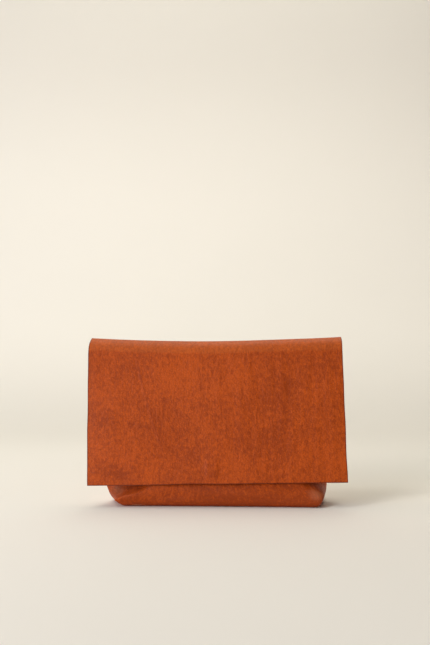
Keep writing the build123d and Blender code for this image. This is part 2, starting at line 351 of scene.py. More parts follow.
def spaced(stops, step):
    """Values through the stops, evenly spaced between neighbours at about the step."""
    values = [stops[0]]
    for low, high in zip(stops[:-1], stops[1:]):
        count = max(1, round((high - low) / step))
        values += [low + (high - low) * i / count for i in range(1, count + 1)]
    return np.array(values)


def grid(cut_stops, run_stops, step):
    return np.meshgrid(spaced(cut_stops, step), spaced(run_stops, step), indexing="ij")


def surface_normals(points):
    along_cut = np.gradient(points, axis=0)
    along_run = np.gradient(points, axis=1)
    normals = np.cross(along_cut, along_run)
    return normals / np.maximum(np.linalg.norm(normals, axis=2, keepdims=True), 1e-9)


def rim(rows, cols):
    """Row and column of each place round the edge of a grid, in order."""
    bottom = [(i, 0) for i in range(rows)]
    right = [(rows - 1, j) for j in range(1, cols)]
    top = [(i, cols - 1) for i in range(rows - 2, -1, -1)]
    left = [(0, j) for j in range(cols - 2, 0, -1)]
    return np.array(bottom + right + top + left)


def ply(name, laid_out, place, outward, thickness, materials, inset=0.0, edge_round=0.3):
    """A layer of leather or cloth with a face, a back and a rounded cut edge.

    laid_out is its grid of (cut, run) and place gives the hide's face there. outward is 1 where the grid's
    normals already point out of the bag, else -1. materials are those of the face, the back and the edge.
    """
    cut, run = laid_out
    points = np.stack(place(cut, run), axis=2)
    normals = surface_normals(points) * outward
    face = points - normals * inset
    back = face - normals * thickness
    rows, cols = cut.shape
    ring = rim(rows, cols)
    inner = np.stack([np.clip(ring[:, 0], 1, rows - 2), np.clip(ring[:, 1], 1, cols - 2)], axis=1)
    away = face[ring[:, 0], ring[:, 1]] - face[inner[:, 0], inner[:, 1]]
    away = away / np.maximum(np.linalg.norm(away, axis=1, keepdims=True), 1e-9)
    middle = (face[ring[:, 0], ring[:, 1]] + back[ring[:, 0], ring[:, 1]]) / 2 + away * edge_round
    vertices = np.concatenate([face.reshape(-1, 3), back.reshape(-1, 3), middle])
    flat = np.stack([cut, run], axis=2)
    layout = np.concatenate([flat.reshape(-1, 2), flat.reshape(-1, 2), flat[ring[:, 0], ring[:, 1]]])

    count = rows * cols
    corner = (np.arange(rows - 1)[:, None] * cols + np.arange(cols - 1)[None, :]).ravel()
    quads = np.stack([corner, corner + cols, corner + cols + 1, corner + 1], axis=1)
    first = ring[:, 0] * cols + ring[:, 1]
    second = np.roll(first, -1)
    mid_first = 2 * count + np.arange(len(ring))
    mid_second = np.roll(mid_first, -1)
    strip_face = np.stack([first, mid_first, mid_second, second], axis=1)
    strip_back = np.stack([mid_first, first + count, second + count, mid_second], axis=1)
    strips = np.concatenate([strip_face, strip_back])
    faces = np.concatenate([quads, quads[:, ::-1] + count, strips])
    if outward < 0:
        faces = faces[:, ::-1]
    kinds = [0] * len(quads) + [1] * len(quads) + [2] * len(strips)
    return mesh_object(name, vertices, faces, materials, kinds, layout)


def mesh_object(name, vertices, faces, materials, kinds=None, layout=None, sharp=60.0):
    mesh = bpy.data.meshes.new(name)
    mesh.from_pydata((np.asarray(vertices) * MM).tolist(), [], [list(map(int, f)) for f in faces])
    for material in materials:
        mesh.materials.append(material)
    if kinds is not None:
        mesh.polygons.foreach_set("material_index", kinds)
    if layout is not None:
        uv = mesh.uv_layers.new(name="hide")
        corners = np.empty(len(mesh.loops), dtype=np.int32)
        mesh.loops.foreach_get("vertex_index", corners)
        uv.data.foreach_set("uv", (layout[corners] * MM).astype(np.float32).ravel())
    mesh.shade_smooth()
    mesh.set_sharp_from_angle(angle=math.radians(sharp))
    mesh.update()
    obj = bpy.data.objects.new(name, mesh)
    bpy.context.scene.collection.objects.link(obj)
    return obj


def tube(points, radii, sides=8):
    """Vertices and faces of a closed round tube through the points."""
    points = np.array(points, dtype=float)
    along = np.gradient(points, axis=0)
    along = along / np.linalg.norm(along, axis=1, keepdims=True)
    across = np.cross(along, [0.0, 0.0, 1.0])
    flat = np.linalg.norm(across, axis=1) < 1e-3
    across[flat] = [1.0, 0.0, 0.0]
    across = across / np.linalg.norm(across, axis=1, keepdims=True)
    up = np.cross(across, along)
    angles = np.arange(sides) * 2 * math.pi / sides
    rings = points[:, None, :] + np.asarray(radii)[:, None, None] * (
        np.cos(angles)[None, :, None] * across[:, None, :] + np.sin(angles)[None, :, None] * up[:, None, :]
    )
    faces = []
    for i in range(len(points) - 1):
        for k in range(sides):
            n = (k + 1) % sides
            faces.append([i * sides + k, i * sides + n, (i + 1) * sides + n, (i + 1) * sides + k])
    faces.append(list(range(sides))[::-1])
    faces.append([(len(points) - 1) * sides + k for k in range(sides)])
    return rings.reshape(-1, 3), faces


# ---------------------------------------------------------------- shader helpers


class Recipe:
    """A node tree being filled, with short calls for the nodes it uses."""

    def __init__(self, tree):
        self.tree = tree

    def node(self, kind, **settings):
        node = self.tree.nodes.new(kind)
        for key, value in settings.items():
            setattr(node, key, value)
        return node

    def put(self, socket, value):
        if isinstance(value, bpy.types.NodeSocket):
            self.tree.links.new(value, socket)
        elif value is not None:
            socket.default_value = value

    def math(self, operation, a, b=None, c=None, clamp=False):
        node = self.node("ShaderNodeMath", operation=operation, use_clamp=clamp)
        for socket, value in zip(node.inputs, (a, b, c)):
            self.put(socket, value)
        return node.outputs[0]

    def remap(self, value, low, high, to_low=0.0, to_high=1.0):
        node = self.node("ShaderNodeMapRange", interpolation_type="SMOOTHSTEP")
        for socket, number in zip(node.inputs, (value, low, high, to_low, to_high)):
            self.put(socket, number)
        return node.outputs[0]

    def mix(self, factor, a, b, blend_type="MIX"):
        node = self.node("ShaderNodeMix", data_type="RGBA", blend_type=blend_type)
        self.put(node.inputs["Factor"], factor)
        self.put(node.inputs[6], a)
        self.put(node.inputs[7], b)
        return node.outputs[2]

    def layout(self, stretch=(1.0, 1.0), offset=(0.0, 0.0)):
        """The laid-out place on the hide, in metres, stretched along the cut or the run."""
        uv = self.node("ShaderNodeUVMap", uv_map="hide")
        mapping = self.node("ShaderNodeMapping")
        mapping.inputs["Scale"].default_value = (stretch[0], stretch[1], 1.0)
        mapping.inputs["Location"].default_value = (offset[0], offset[1], 0.0)
        self.put(mapping.inputs["Vector"], uv.outputs["UV"])
        return mapping.outputs["Vector"]

    def hide_axes(self, vector=None):
        """The cut and the run of a place on the hide, in metres."""
        if vector is None:
            vector = self.node("ShaderNodeUVMap", uv_map="hide").outputs["UV"]
        axes = self.node("ShaderNodeSeparateXYZ")
        self.put(axes.inputs[0], vector)
        return axes.outputs["X"], axes.outputs["Y"]

    def warped(self, vector, scale, amount):
        """The vector, pushed about by noise."""
        warp = self.node("ShaderNodeTexNoise")
        self.put(warp.inputs["Vector"], vector)
        self.put(warp.inputs["Scale"], scale)
        shrink = self.node("ShaderNodeVectorMath", operation="SCALE")
        self.put(shrink.inputs[0], warp.outputs["Color"])
        self.put(shrink.inputs["Scale"], amount)
        bent = self.node("ShaderNodeVectorMath", operation="ADD")
        self.put(bent.inputs[0], vector)
        self.put(bent.inputs[1], shrink.outputs[0])
        return bent.outputs[0]

    def away_from(self, vector, centre, half_sizes):
        """Distance from an oval's centre, 1 at its edge. Lengths are in metres."""
        spot = self.node("ShaderNodeMapping", vector_type="TEXTURE")
        spot.inputs["Location"].default_value = centre
        spot.inputs["Scale"].default_value = (half_sizes[0], half_sizes[1], 1.0)
        self.put(spot.inputs["Vector"], vector)
        away = self.node("ShaderNodeVectorMath", operation="LENGTH")
        self.put(away.inputs[0], spot.outputs[0])
        return away.outputs["Value"]

    def place(self):
        return self.node("ShaderNodeTexCoord").outputs["Object"]

    def noise(self, vector, scale, detail=2.0, roughness=0.5, distortion=0.0):
        node = self.node("ShaderNodeTexNoise")
        self.put(node.inputs["Vector"], vector)
        self.put(node.inputs["Scale"], scale)
        self.put(node.inputs["Detail"], detail)
        self.put(node.inputs["Roughness"], roughness)
        self.put(node.inputs["Distortion"], distortion)
        return node.outputs["Fac"]

    def cells(self, vector, scale, feature="F1", randomness=1.0):
        node = self.node("ShaderNodeTexVoronoi", feature=feature)
        self.put(node.inputs["Vector"], vector)
        self.put(node.inputs["Scale"], scale)
        self.put(node.inputs["Randomness"], randomness)
        return node.outputs["Distance"]

    def ripple(self, vector, scale, direction="X", distortion=0.0):
        node = self.node("ShaderNodeTexWave", bands_direction=direction)
        self.put(node.inputs["Vector"], vector)
        self.put(node.inputs["Scale"], scale)
        self.put(node.inputs["Distortion"], distortion)
        return node.outputs["Fac"]

    def bump(self, height, distance, strength=1.0):
        node = self.node("ShaderNodeBump")
        self.put(node.inputs["Height"], height)
        self.put(node.inputs["Distance"], distance)
        self.put(node.inputs["Strength"], strength)
        return node.outputs["Normal"]


def group(name, inputs, outputs):
    """An empty node group with the given sockets, and the recipe that fills it."""
    tree = bpy.data.node_groups.new(name, "ShaderNodeTree")
    for socket, (kind, value) in inputs.items():
        made = tree.interface.new_socket(socket, in_out="INPUT", socket_type=kind)
        if value is not None:
            made.default_value = value
    for socket, kind in outputs.items():
        tree.interface.new_socket(socket, in_out="OUTPUT", socket_type=kind)
    recipe = Recipe(tree)
    return tree, recipe, recipe.node("NodeGroupInput"), recipe.node("NodeGroupOutput")


def material(name):
    """A new material with its recipe and its main shader."""
    made = bpy.data.materials.new(name)
    made.use_nodes = True
    made.node_tree.nodes.clear()
    recipe = Recipe(made.node_tree)
    shader = recipe.node("ShaderNodeBsdfPrincipled")
    output = recipe.node("ShaderNodeOutputMaterial")
    recipe.put(output.inputs["Surface"], shader.outputs["BSDF"])
    return made, recipe, shader


def placed(recipe, tree, **values):
    node = recipe.node("ShaderNodeGroup", node_tree=tree)
    for key, value in values.items():
        recipe.put(node.inputs[key.replace("_", " ")], value)
    return node


# ---------------------------------------------------------------- leather


def grain_group():
    """Pebbled, drawn and blotched hide: a colour, a roughness and a height in metres."""
    inputs = {
        "Light": ("NodeSocketColor", (0.46, 0.10, 0.026, 1.0)),
        "Dark": ("NodeSocketColor", (0.27, 0.045, 0.012, 1.0)),
        "Gloss": ("NodeSocketFloat", 0.5),
        "Depth": ("NodeSocketFloat", 1.0),
        "Tint": ("NodeSocketFloat", 0.0),
    }
    outputs = {"Colour": "NodeSocketColor", "Roughness": "NodeSocketFloat", "Height": "NodeSocketFloat"}
    tree, r, given, result = group("hide grain", inputs, outputs)
    flat = r.layout()
    drawn = r.layout(stretch=(1.0, 0.22))
    blotch = r.noise(flat, 26.0, 4.0, 0.6, 0.6)
    cloud = r.noise(flat, 9.0, 2.0, 0.5, 0.4)
    mottle = r.noise(flat, 240.0, 3.0, 0.65, 0.5)
    bent = r.warped(flat, 300.0, 0.0022)
    pebble = r.cells(bent, 420.0, "DISTANCE_TO_EDGE")
    pebble = r.remap(pebble, 0.0, 0.16)
    fine = r.cells(bent, 1150.0, "DISTANCE_TO_EDGE")
    fine = r.remap(fine, 0.0, 0.2)
    wrinkle = r.noise(drawn, 330.0, 2.0, 0.5, 0.8)
    lumps = r.noise(flat, 400.0, 2.0, 0.5, 0.3)

    tone = r.math("MULTIPLY_ADD", blotch, 0.65, r.math("MULTIPLY", mottle, 0.65))
    tone = r.math("MULTIPLY_ADD", cloud, 0.25, tone)
    tone = r.math("ADD", r.remap(tone, 0.47, 1.07), given.outputs["Tint"])
    speck = r.noise(r.layout(stretch=(1.0, 0.55)), 460.0, 2.0, 0.55, 1.0)
    tone = r.math("MULTIPLY_ADD", r.math("SUBTRACT", speck, 0.5), 2.4, tone)
    tone = r.math("MULTIPLY_ADD", r.math("SUBTRACT", wrinkle, 0.5), 0.9, tone, clamp=True)
    colour = r.mix(tone, given.outputs["Dark"], given.outputs["Light"])
    valley = r.math("MULTIPLY", pebble, fine)
    colour = r.mix(r.remap(valley, 0.0, 1.0, 0.22, 0.0), colour, (0.10, 0.018, 0.006, 1.0))
    r.put(result.inputs["Colour"], colour)

    rough = r.math("MULTIPLY_ADD", mottle, 0.22, given.outputs["Gloss"])
    rough = r.math("MULTIPLY_ADD", valley, -0.10, rough)
    r.put(result.inputs["Roughness"], rough)

    height = r.math("MULTIPLY", pebble, 0.00010)
    height = r.math("MULTIPLY_ADD", fine, 0.00003, height)
    height = r.math("MULTIPLY_ADD", wrinkle, 0.00014, height)
    height = r.math("MULTIPLY_ADD", lumps, 0.00046, height)
    height = r.math("MULTIPLY", height, given.outputs["Depth"])
    r.put(result.inputs["Height"], height)
    return tree


# Painted shade: how much darker the hide is painted towards the bottom edge, where the walls turn under.
FOOT_PAINTED_SHADE = -0.58
WARP_REACH = 16.0
HIDE_MARKS_AND_SHEEN = (
    # cut, hang below the fold, half width and half height in millimetres, then strength: lighter or darker
    (-2.0, 38.0, 17.0, 11.0, 0.30),
    (-12.0, 18.0, 62.0, 30.0, 0.28),
    (-38.0, 64.0, 20.0, 12.0, 0.12),
    (98.0, 118.0, 40.0, 34.0, 0.22),
    # painted sheen: the lighter place low on the left of the flap
    (-104.0, 104.0, 26.0, 14.0, 0.16),
    (-83.0, 76.0, 11.0, 7.0, -0.34),
    (-103.0, 122.0, 24.0, 8.0, -0.22),
    (-112.0, 66.0, 14.0, 6.0, -0.16),
    (72.0, 46.0, 14.0, 34.0, -0.16),
    (104.0, 26.0, 22.0, 16.0, -0.14),
    (30.0, 92.0, 46.0, 20.0, -0.10),
)


def hide_marks_and_painted_light(recipe):
    """The growth line and lighter and darker blotches of this hide, one blotch a painted sheen, with painted
    shade darkening the hide towards the bottom edge.
    """
    total = 0.0
    origin = wall_top + fold_length
    uv = recipe.node("ShaderNodeUVMap", uv_map="hide")
    bent = recipe.warped(uv.outputs["UV"], 45.0, WARP_REACH * MM)
    shift = WARP_REACH / 2
    for cut, hang, half_width, half_height, strength in HIDE_MARKS_AND_SHEEN:
        centre = ((cut + shift) * MM, (origin + hang + shift) * MM, shift * MM)
        away = recipe.away_from(bent, centre, (half_width * MM, half_height * MM))
        total = recipe.math("ADD", total, recipe.remap(away, 0.2, 1.3, strength, 0.0))
    _, run = recipe.hide_axes(bent)
    # Painted shade: the hide darkens towards the bottom edge.
    foot = recipe.remap(run, 10.0 * MM, 38.0 * MM, FOOT_PAINTED_SHADE, 0.0)
    total = recipe.math("ADD", total, foot)
    return recipe.math("ADD", total, vein_line(recipe, origin))


def vein_line(recipe, origin):
    """The growth line down the left of the flap, a little darker than the hide around it."""
    cut, run = recipe.hide_axes()
    hang = recipe.math("SUBTRACT", run, origin * MM)
    slope = recipe.math("MULTIPLY_ADD", hang, VEIN_CURVE * METRE, VEIN_SLOPE)
    path = recipe.math("MULTIPLY_ADD", slope, hang, VEIN_CUT * MM)
    away = recipe.math("ABSOLUTE", recipe.math("SUBTRACT", cut, path))
    line = recipe.remap(away, 0.2 * MM, 1.5 * MM, -0.30, 0.0)
    below = recipe.remap(hang, 2.0 * MM, 16.0 * MM)
    above = recipe.remap(hang, 85.0 * MM, 118.0 * MM, 1.0, 0.0)
    return recipe.math("MULTIPLY", line, recipe.math("MULTIPLY", below, above))


def painted_fold_sheen(recipe):
    """1 over the fold, where a painted sheen pales the hide, down to a ragged lower edge."""
    uv = recipe.node("ShaderNodeUVMap", uv_map="hide").outputs["UV"]
    ragged = recipe.noise(uv, 120.0, 4.0, 0.65)
    run = recipe.math("MULTIPLY_ADD", ragged, 0.006, recipe.hide_axes(uv)[1])
    begun = recipe.remap(run, wall_top * MM, (wall_top + 0.35 * fold_length) * MM)
    fold_end = wall_top + fold_length
    ended = recipe.remap(run, (fold_end + 1.0) * MM, (fold_end + 4.0) * MM, 1.0, 0.0)
    return recipe.math("MULTIPLY", begun, ended)


CORNER_SHEEN_SPOTS = (
    # cut, run, half width, half height: painted sheen on the boxed corners, in millimetres
    (88.0, 17.0, 10.0, 7.0),
    (97.0, 8.0, 6.0, 3.0),
    (-107.0, 18.0, 13.0, 6.0),
)


def painted_corner_sheen(recipe):
    """1 in the middle of each patch of painted sheen, fading out to its edge."""
    total = 0.0
    uv = recipe.node("ShaderNodeUVMap", uv_map="hide").outputs["UV"]
    broken = recipe.noise(uv, 160.0, 3.0, 0.6)
    for cut, run, half_width, half_height in CORNER_SHEEN_SPOTS:
        away = recipe.away_from(uv, (cut * MM, run * MM, 0.0), (half_width * MM, half_height * MM))
        ragged = recipe.math("MULTIPLY_ADD", broken, 0.8, away)
        total = recipe.math("ADD", total, recipe.remap(ragged, 0.5, 1.5, 1.0, 0.0))
    return total


def burnished_edge(recipe):
    """1 along the cut sides and the hem of the flap, fading over the last millimetre."""
    cut, run = recipe.hide_axes()
    side = recipe.remap(recipe.math("ABSOLUTE", cut), (half_cut - 1.3) * MM, (half_cut - 0.3) * MM)
    hem_run = wall_top + fold_length + flap_length
    hem = recipe.remap(run, (hem_run - 1.0) * MM, (hem_run - 0.2) * MM)
    return recipe.math("MAXIMUM", side, hem)


def grain_leather(name, grain, light, dark, gloss=0.42, depth=1.0, marks=False):
    made, r, shader = material(name)
    hide = placed(r, grain, Light=light, Dark=dark, Gloss=gloss, Depth=depth)
    colour = hide.outputs["Colour"]
    if marks:
        # The tint carries the hide's marks, with a painted sheen and painted shade.
        r.put(hide.inputs["Tint"], hide_marks_and_painted_light(r))
        # Painted sheen over the fold: the hide paled towards a lighter tan.
        colour = r.mix(r.math("MULTIPLY", painted_fold_sheen(r), 0.2), colour, (0.66, 0.17, 0.03, 1.0))
        # Painted sheen on the boxed corners: a pale patch on each.
        colour = r.mix(r.math("MULTIPLY", painted_corner_sheen(r), 0.32), colour, (0.60, 0.24, 0.12, 1.0))
        colour = r.mix(r.math("MULTIPLY", burnished_edge(r), 0.6), colour, (0.12, 0.014, 0.003, 1.0))
    r.put(shader.inputs["Base Color"], colour)
    r.put(shader.inputs["Roughness"], hide.outputs["Roughness"])
    r.put(shader.inputs["Normal"], r.bump(hide.outputs["Height"], 1.0))
    shader.inputs["Specular IOR Level"].default_value = 0.22
    return made


def flesh_leather():
    """The napped inner side of the hide."""
    made, r, shader = material("hide_flesh")
    flat = r.layout()
    nap = r.noise(flat, 900.0, 4.0, 0.7)
    patch = r.noise(flat, 45.0, 3.0, 0.6)
    colour = r.mix(patch, (0.30, 0.095, 0.036, 1.0), (0.46, 0.175, 0.075, 1.0))
    colour = r.mix(r.remap(nap, 0.3, 0.7, 0.35, 0.0), colour, (0.20, 0.055, 0.02, 1.0))
    r.put(shader.inputs["Base Color"], colour)
    r.put(shader.inputs["Roughness"], r.remap(nap, 0.2, 0.8, 0.98, 0.85))
    r.put(shader.inputs["Normal"], r.bump(nap, 0.0004))
    shader.inputs["Sheen Weight"].default_value = 0.5
    shader.inputs["Sheen Roughness"].default_value = 0.5
    shader.inputs["Sheen Tint"].default_value = (1.0, 0.7, 0.5, 1.0)
    shader.inputs["Specular IOR Level"].default_value = 0.2
    return made


def cut_edge():
    """The raw edge: fibres, with the dye gone red-brown."""
    made, r, shader = material("hide_edge")
    place = r.place()
    fibre = r.noise(place, 1400.0, 3.0, 0.6)
    patch = r.noise(place, 160.0, 2.0, 0.5)
    colour = r.mix(fibre, (0.085, 0.018, 0.008, 1.0), (0.20, 0.045, 0.017, 1.0))
    colour = r.mix(r.remap(patch, 0.45, 0.75, 0.0, 0.5), colour, (0.30, 0.09, 0.035, 1.0))
    r.put(shader.inputs["Base Color"], colour)
    r.put(shader.inputs["Roughness"], r.remap(fibre, 0.2, 0.8, 0.75, 0.5))
    r.put(shader.inputs["Normal"], r.bump(fibre, 0.0002))
    shader.inputs["Specular IOR Level"].default_value = 0.15
    return made


def lining_cloth():
    """Brown cotton twill."""
    made, r, shader = material("lining_twill")
    uv = r.node("ShaderNodeUVMap", uv_map="hide")
    turned = r.node("ShaderNodeMapping")
    turned.inputs["Rotation"].default_value = (0.0, 0.0, math.radians(58.0))
    r.put(turned.inputs["Vector"], uv.outputs["UV"])
    rib = r.ripple(turned.outputs["Vector"], 260.0, "X", 0.4)
    yarn = r.ripple(r.layout(), 520.0, "Y", 0.6)
    slub = r.noise(r.layout(stretch=(0.2, 1.0)), 700.0, 3.0, 0.6)
    weave = r.math("MULTIPLY_ADD", yarn, 0.4, r.math("MULTIPLY", rib, 0.8))
    colour = r.mix(r.remap(weave, 0.1, 1.0), (0.17, 0.085, 0.04, 1.0), (0.36, 0.205, 0.11, 1.0))
    colour = r.mix(r.remap(slub, 0.4, 0.7, 0.0, 0.25), colour, (0.42, 0.26, 0.15, 1.0))
    r.put(shader.inputs["Base Color"], colour)
    r.put(shader.inputs["Roughness"], r.remap(slub, 0.2, 0.8, 0.95, 0.8))
    r.put(shader.inputs["Normal"], r.bump(weave, 0.0002))
    shader.inputs["Sheen Weight"].default_value = 0.3
    shader.inputs["Specular IOR Level"].default_value = 0.25
    return made


def waxed_thread():
    made, r, shader = material("waxed_thread")
    place = r.place()
    twist = r.ripple(place, 900.0, "DIAGONAL", 0.5)
    fuzz = r.noise(place, 2500.0, 2.0, 0.6)
    colour = r.mix(twist, (0.19, 0.045, 0.017, 1.0), (0.40, 0.125, 0.05, 1.0))
    r.put(shader.inputs["Base Color"], colour)
    r.put(shader.inputs["Roughness"], r.remap(fuzz, 0.2, 0.8, 0.5, 0.7))
    r.put(shader.inputs["Normal"], r.bump(twist, 0.00015))
    return made


def plated_metal(name, light, dark, roughness):
    """Plated and lightly brushed metal with handling marks."""
    made, r, shader = material(name)
    place = r.place()
    brushed = r.noise(place, 1800.0, 2.0, 0.5)
    worn = r.noise(place, 220.0, 4.0, 0.6)
    colour = r.mix(r.remap(worn, 0.35, 0.7), dark, light)
    r.put(shader.inputs["Base Color"], colour)
    r.put(shader.inputs["Roughness"], r.remap(brushed, 0.2, 0.8, roughness - 0.07, roughness + 0.1))
    r.put(shader.inputs["Normal"], r.bump(brushed, 0.00002))
    shader.inputs["Metallic"].default_value = 1.0
    return made


def fibre_board():
    made, r, shader = material("fibre_board")
    place = r.place()
    fleck = r.noise(place, 900.0, 4.0, 0.7)
    colour = r.mix(r.remap(fleck, 0.35, 0.65), (0.30, 0.20, 0.11, 1.0), (0.50, 0.37, 0.23, 1.0))
    r.put(shader.inputs["Base Color"], colour)
    r.put(shader.inputs["Roughness"], r.remap(fleck, 0.2, 0.8, 0.95, 0.8))
    r.put(shader.inputs["Normal"], r.bump(fleck, 0.0002))
    return made


TAN_LIGHT = (0.60, 0.092, 0.004, 1.0)
TAN_DARK = (0.37, 0.050, 0.001, 1.0)
FACING_LIGHT = (0.48, 0.080, 0.016, 1.0)
FACING_DARK = (0.32, 0.048, 0.009, 1.0)

grain = grain_group()
tan = grain_leather("tan_grain", grain, TAN_LIGHT, TAN_DARK, marks=True)
facing_tan = grain_leather("facing_grain", grain, FACING_LIGHT, FACING_DARK, gloss=0.46, depth=0.5)
flesh = flesh_leather()
raw_edge = cut_edge()
twill = lining_cloth()
thread = waxed_thread()
brass = plated_metal("snap_brass", (0.72, 0.54, 0.27, 1.0), (0.42, 0.30, 0.14, 1.0), 0.28)
steel = plated_metal("magnet_steel", (0.45, 0.45, 0.46, 1.0), (0.25, 0.25, 0.27, 1.0), 0.35)
board_stuff = fibre_board()


# ---------------------------------------------------------------- the bag

HIDE_STEP = 1.3
CLOTH_STEP = 2.5


def front_place(cut, run):
    return wall_place(cut, run, -1, front_lean, 41.0)


def rear_hide():
    """Back wall, fold and flap in one piece of hide."""
    cuts = [-half_cut, -half_girth, 0.0, half_girth, half_cut]
    runs = [-UNDER_TURN, run_at(SHOULDER_BOTTOM), wall_top, wall_top + fold_length]
    runs += [wall_top + fold_length + flap_length]
    piece = ply("back_and_flap", grid(cuts, runs, HIDE_STEP), back_place, -1, LEATHER, [tan, flesh, raw_edge])
    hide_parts("back_panel", "flap_panel")
    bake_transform(piece)


def front_hide():
    cuts = [-half_cut, -half_girth, 0.0, half_girth, half_cut]
    runs = [-UNDER_TURN, run_at(lip_z)]
    piece = ply("front", grid(cuts, runs, HIDE_STEP), front_place, 1, LEATHER, [tan, flesh, raw_edge])
    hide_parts("front_panel")
    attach(piece, "bag")


def bottom_hide():
    """The panel between the walls' turned-in margins, slightly hollow between its seams."""
    long = base_half_width - BOTTOM_ROUND - UNDER_TURN - 0.35
    wide = half_depth - BOTTOM_ROUND - UNDER_TURN - 0.35

    def place(cut, run):
        hollow = 0.6 * (1.0 - (cut / long) ** 4) * (1.0 - (run / wide) ** 4)
        forward = front_step(cut, 0.0 * run) * np.clip(-run / wide, 0.0, 1.0)
        return cut, seam_y + run - forward, hollow + 0.25 * wobble(cut, run, 51.0, 30.0, 20.0) * hollow

    laid_out = grid([-long, long], [-wide, wide], 2.0)
    piece = ply("bottom", laid_out, place, -1, LEATHER, [tan, flesh, raw_edge])
    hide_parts("base_panel")
    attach(piece, "bag")


def wall_layer(name, node, cut_half, z_low, z_high, side, inset, thickness, materials, step):
    """A facing or lining that follows a wall on the inside."""
    place = front_place if side < 0 else back_place
    laid_out = grid([-cut_half, cut_half], [run_at(z_low), run_at(z_high)], step)
    piece = ply(name, laid_out, place, -side, thickness, materials, inset=inset, edge_round=0.15)
    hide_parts(node)
    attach(piece, "bag")
    return piece


def insides():
    facing_low, facing_high = node_box("front_facing")
    lining_low, lining_high = node_box("lining_front")
    facing_cut = facing_high[0] + 3.0
    lining_cut = lining_high[0] + 5.0
    leather_faces = [flesh, facing_tan, raw_edge]
    cloth_faces = [twill, twill, twill]
    facing_inset = LEATHER + 0.3
    lining_inset = facing_inset + 1.0 + 0.2
    for side, facing, lining in ((-1, "front_facing", "lining_front"), (1, "back_facing", "lining_back")):
        wall_layer(
            facing + "_strip", facing, facing_cut, facing_low[2], facing_high[2], side,
            facing_inset, 1.0, leather_faces, HIDE_STEP,
        )
        cloth = wall_layer(
            lining + "_cloth", lining, lining_cut, lining_low[2] + 1.5, lining_high[2], side,
            lining_inset, 0.8, cloth_faces, CLOTH_STEP,
        )
    floor_cloth()


def floor_cloth():
    low, high = node_box("lining_base")
    half_x = high[0] - 6.0
    half_y = (high[1] - low[1]) / 2
    middle = (high[1] + low[1]) / 2

    def place(cut, run):
        soft = 0.25 * wobble(cut, run, 61.0, 26.0, 18.0)
        return cut, middle + run, high[2] + soft

    cloth = ply(
        "lining_floor", grid([-half_x, half_x], [-half_y, half_y], CLOTH_STEP), place, 1, 0.8,
        [twill, twill, twill], edge_round=0.15,
    )
    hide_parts("lining_base")
    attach(cloth, "bag")


# ---------------------------------------------------------------- stitching

STITCH_LENGTH = 3.1
STITCH_GAP = 0.9
THREAD_RADIUS = 0.3


def stitch_row(name, node, place, outward, inset, half_cut_row, z):
    """A row of sewn stitches along a wall, each dipping into the leather at both ends."""
    run = run_at(z)
    pitch = STITCH_LENGTH + STITCH_GAP
    count = int(2 * half_cut_row / pitch)
    vertices, faces = [], []
    for i in range(count):
        middle = (i - (count - 1) / 2) * pitch
        cuts = middle + np.linspace(-0.5, 0.5, 7) * STITCH_LENGTH
        pair = np.meshgrid(cuts, [run - 0.5, run, run + 0.5], indexing="ij")
        points = np.stack(place(*pair), axis=2)
        normals = surface_normals(points) * outward
        arch = np.sin(np.linspace(0.0, math.pi, 7))
        lift = (arch * 0.55 - 0.38)[:, None]
        path = points[:, 1] - normals[:, 1] * inset + normals[:, 1] * lift
        ring, quads = tube(path, 0.16 + (THREAD_RADIUS - 0.16) * arch**0.5)
        faces += [[k + len(vertices) for k in quad] for quad in quads]
        vertices += ring.tolist()
    piece = mesh_object(name, vertices, faces, [thread])
    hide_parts(node)
    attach(piece, "bag")


def stitching():
    low, high = node_box("lip_stitching")
    z = (low[2] + high[2]) / 2
    stitch_row("lip_stitches", "lip_stitching", front_place, 1, 0.0, high[0], z)
    inner = LEATHER + 0.3 + 1.0 + 0.2 + 0.8
    for side, place in (("front", front_place), ("back", back_place)):
        low, high = node_box("facing_stitching_" + side)
        z = (low[2] + high[2]) / 2
        outward = 1 if side == "front" else -1
        row = "facing_stitching_" + side
        stitch_row("facing_stitches_" + side, row, place, outward, inner, high[0], z)


# ---------------------------------------------------------------- snap


def snap_backing():
    """The leather patch behind the flap's half of the snap, skived to a thin edge."""
    low, high = node_box("snap_patch")
    half_x = (high[0] - low[0]) / 2
    half_run = (high[2] - low[2]) / 2 / math.cos(flap_lean)
    centre = (low + high) / 2
    down = np.array([0.0, -math.sin(flap_lean), -math.cos(flap_lean)])
    inward = np.array([0.0, math.cos(flap_lean), -math.sin(flap_lean)])
    u, v = np.meshgrid(np.linspace(-1.0, 1.0, 33), np.linspace(-1.0, 1.0, 33), indexing="ij")
    cut = u * np.sqrt(1.0 - v**2 / 2) * half_x
    run = v * np.sqrt(1.0 - u**2 / 2) * half_run
    skive = 1.0 - 0.7 * np.maximum(np.abs(u), np.abs(v)) ** 8

    def place(cut, run):
        face = centre[:, None, None] + down[:, None, None] * run + inward[:, None, None] * (0.5 * skive)
        return centre[0] + cut, face[1], face[2]

    piece = ply("snap_backing", (cut, run), place, 1, 1.6, [facing_tan, flesh, raw_edge], edge_round=0.1)
    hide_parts("snap_patch")
    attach(piece, "flap")


def hardware():
    finishes = {
        "snap_socket": brass,
        "snap_stud": brass,
        "socket_washer": brass,
        "stud_washer": brass,
        "snap_magnet": steel,
        "base_board": board_stuff,
        "side_stitching_left": thread,
        "side_stitching_right": thread,
        "corner_stitching_left": thread,
        "corner_stitching_right": thread,
    }
    for node, finish in finishes.items():
        mesh = frame["nodes"][node].data
        mesh.materials.clear()
        mesh.materials.append(finish)


rear_hide()
front_hide()
bottom_hide()
insides()
stitching()
snap_backing()
hardware()


# ---------------------------------------------------------------- studio

FLOOR_BACK = 0.55
COVE_RADIUS = 0.85
STAGE_HALF_WIDTH = 3.0


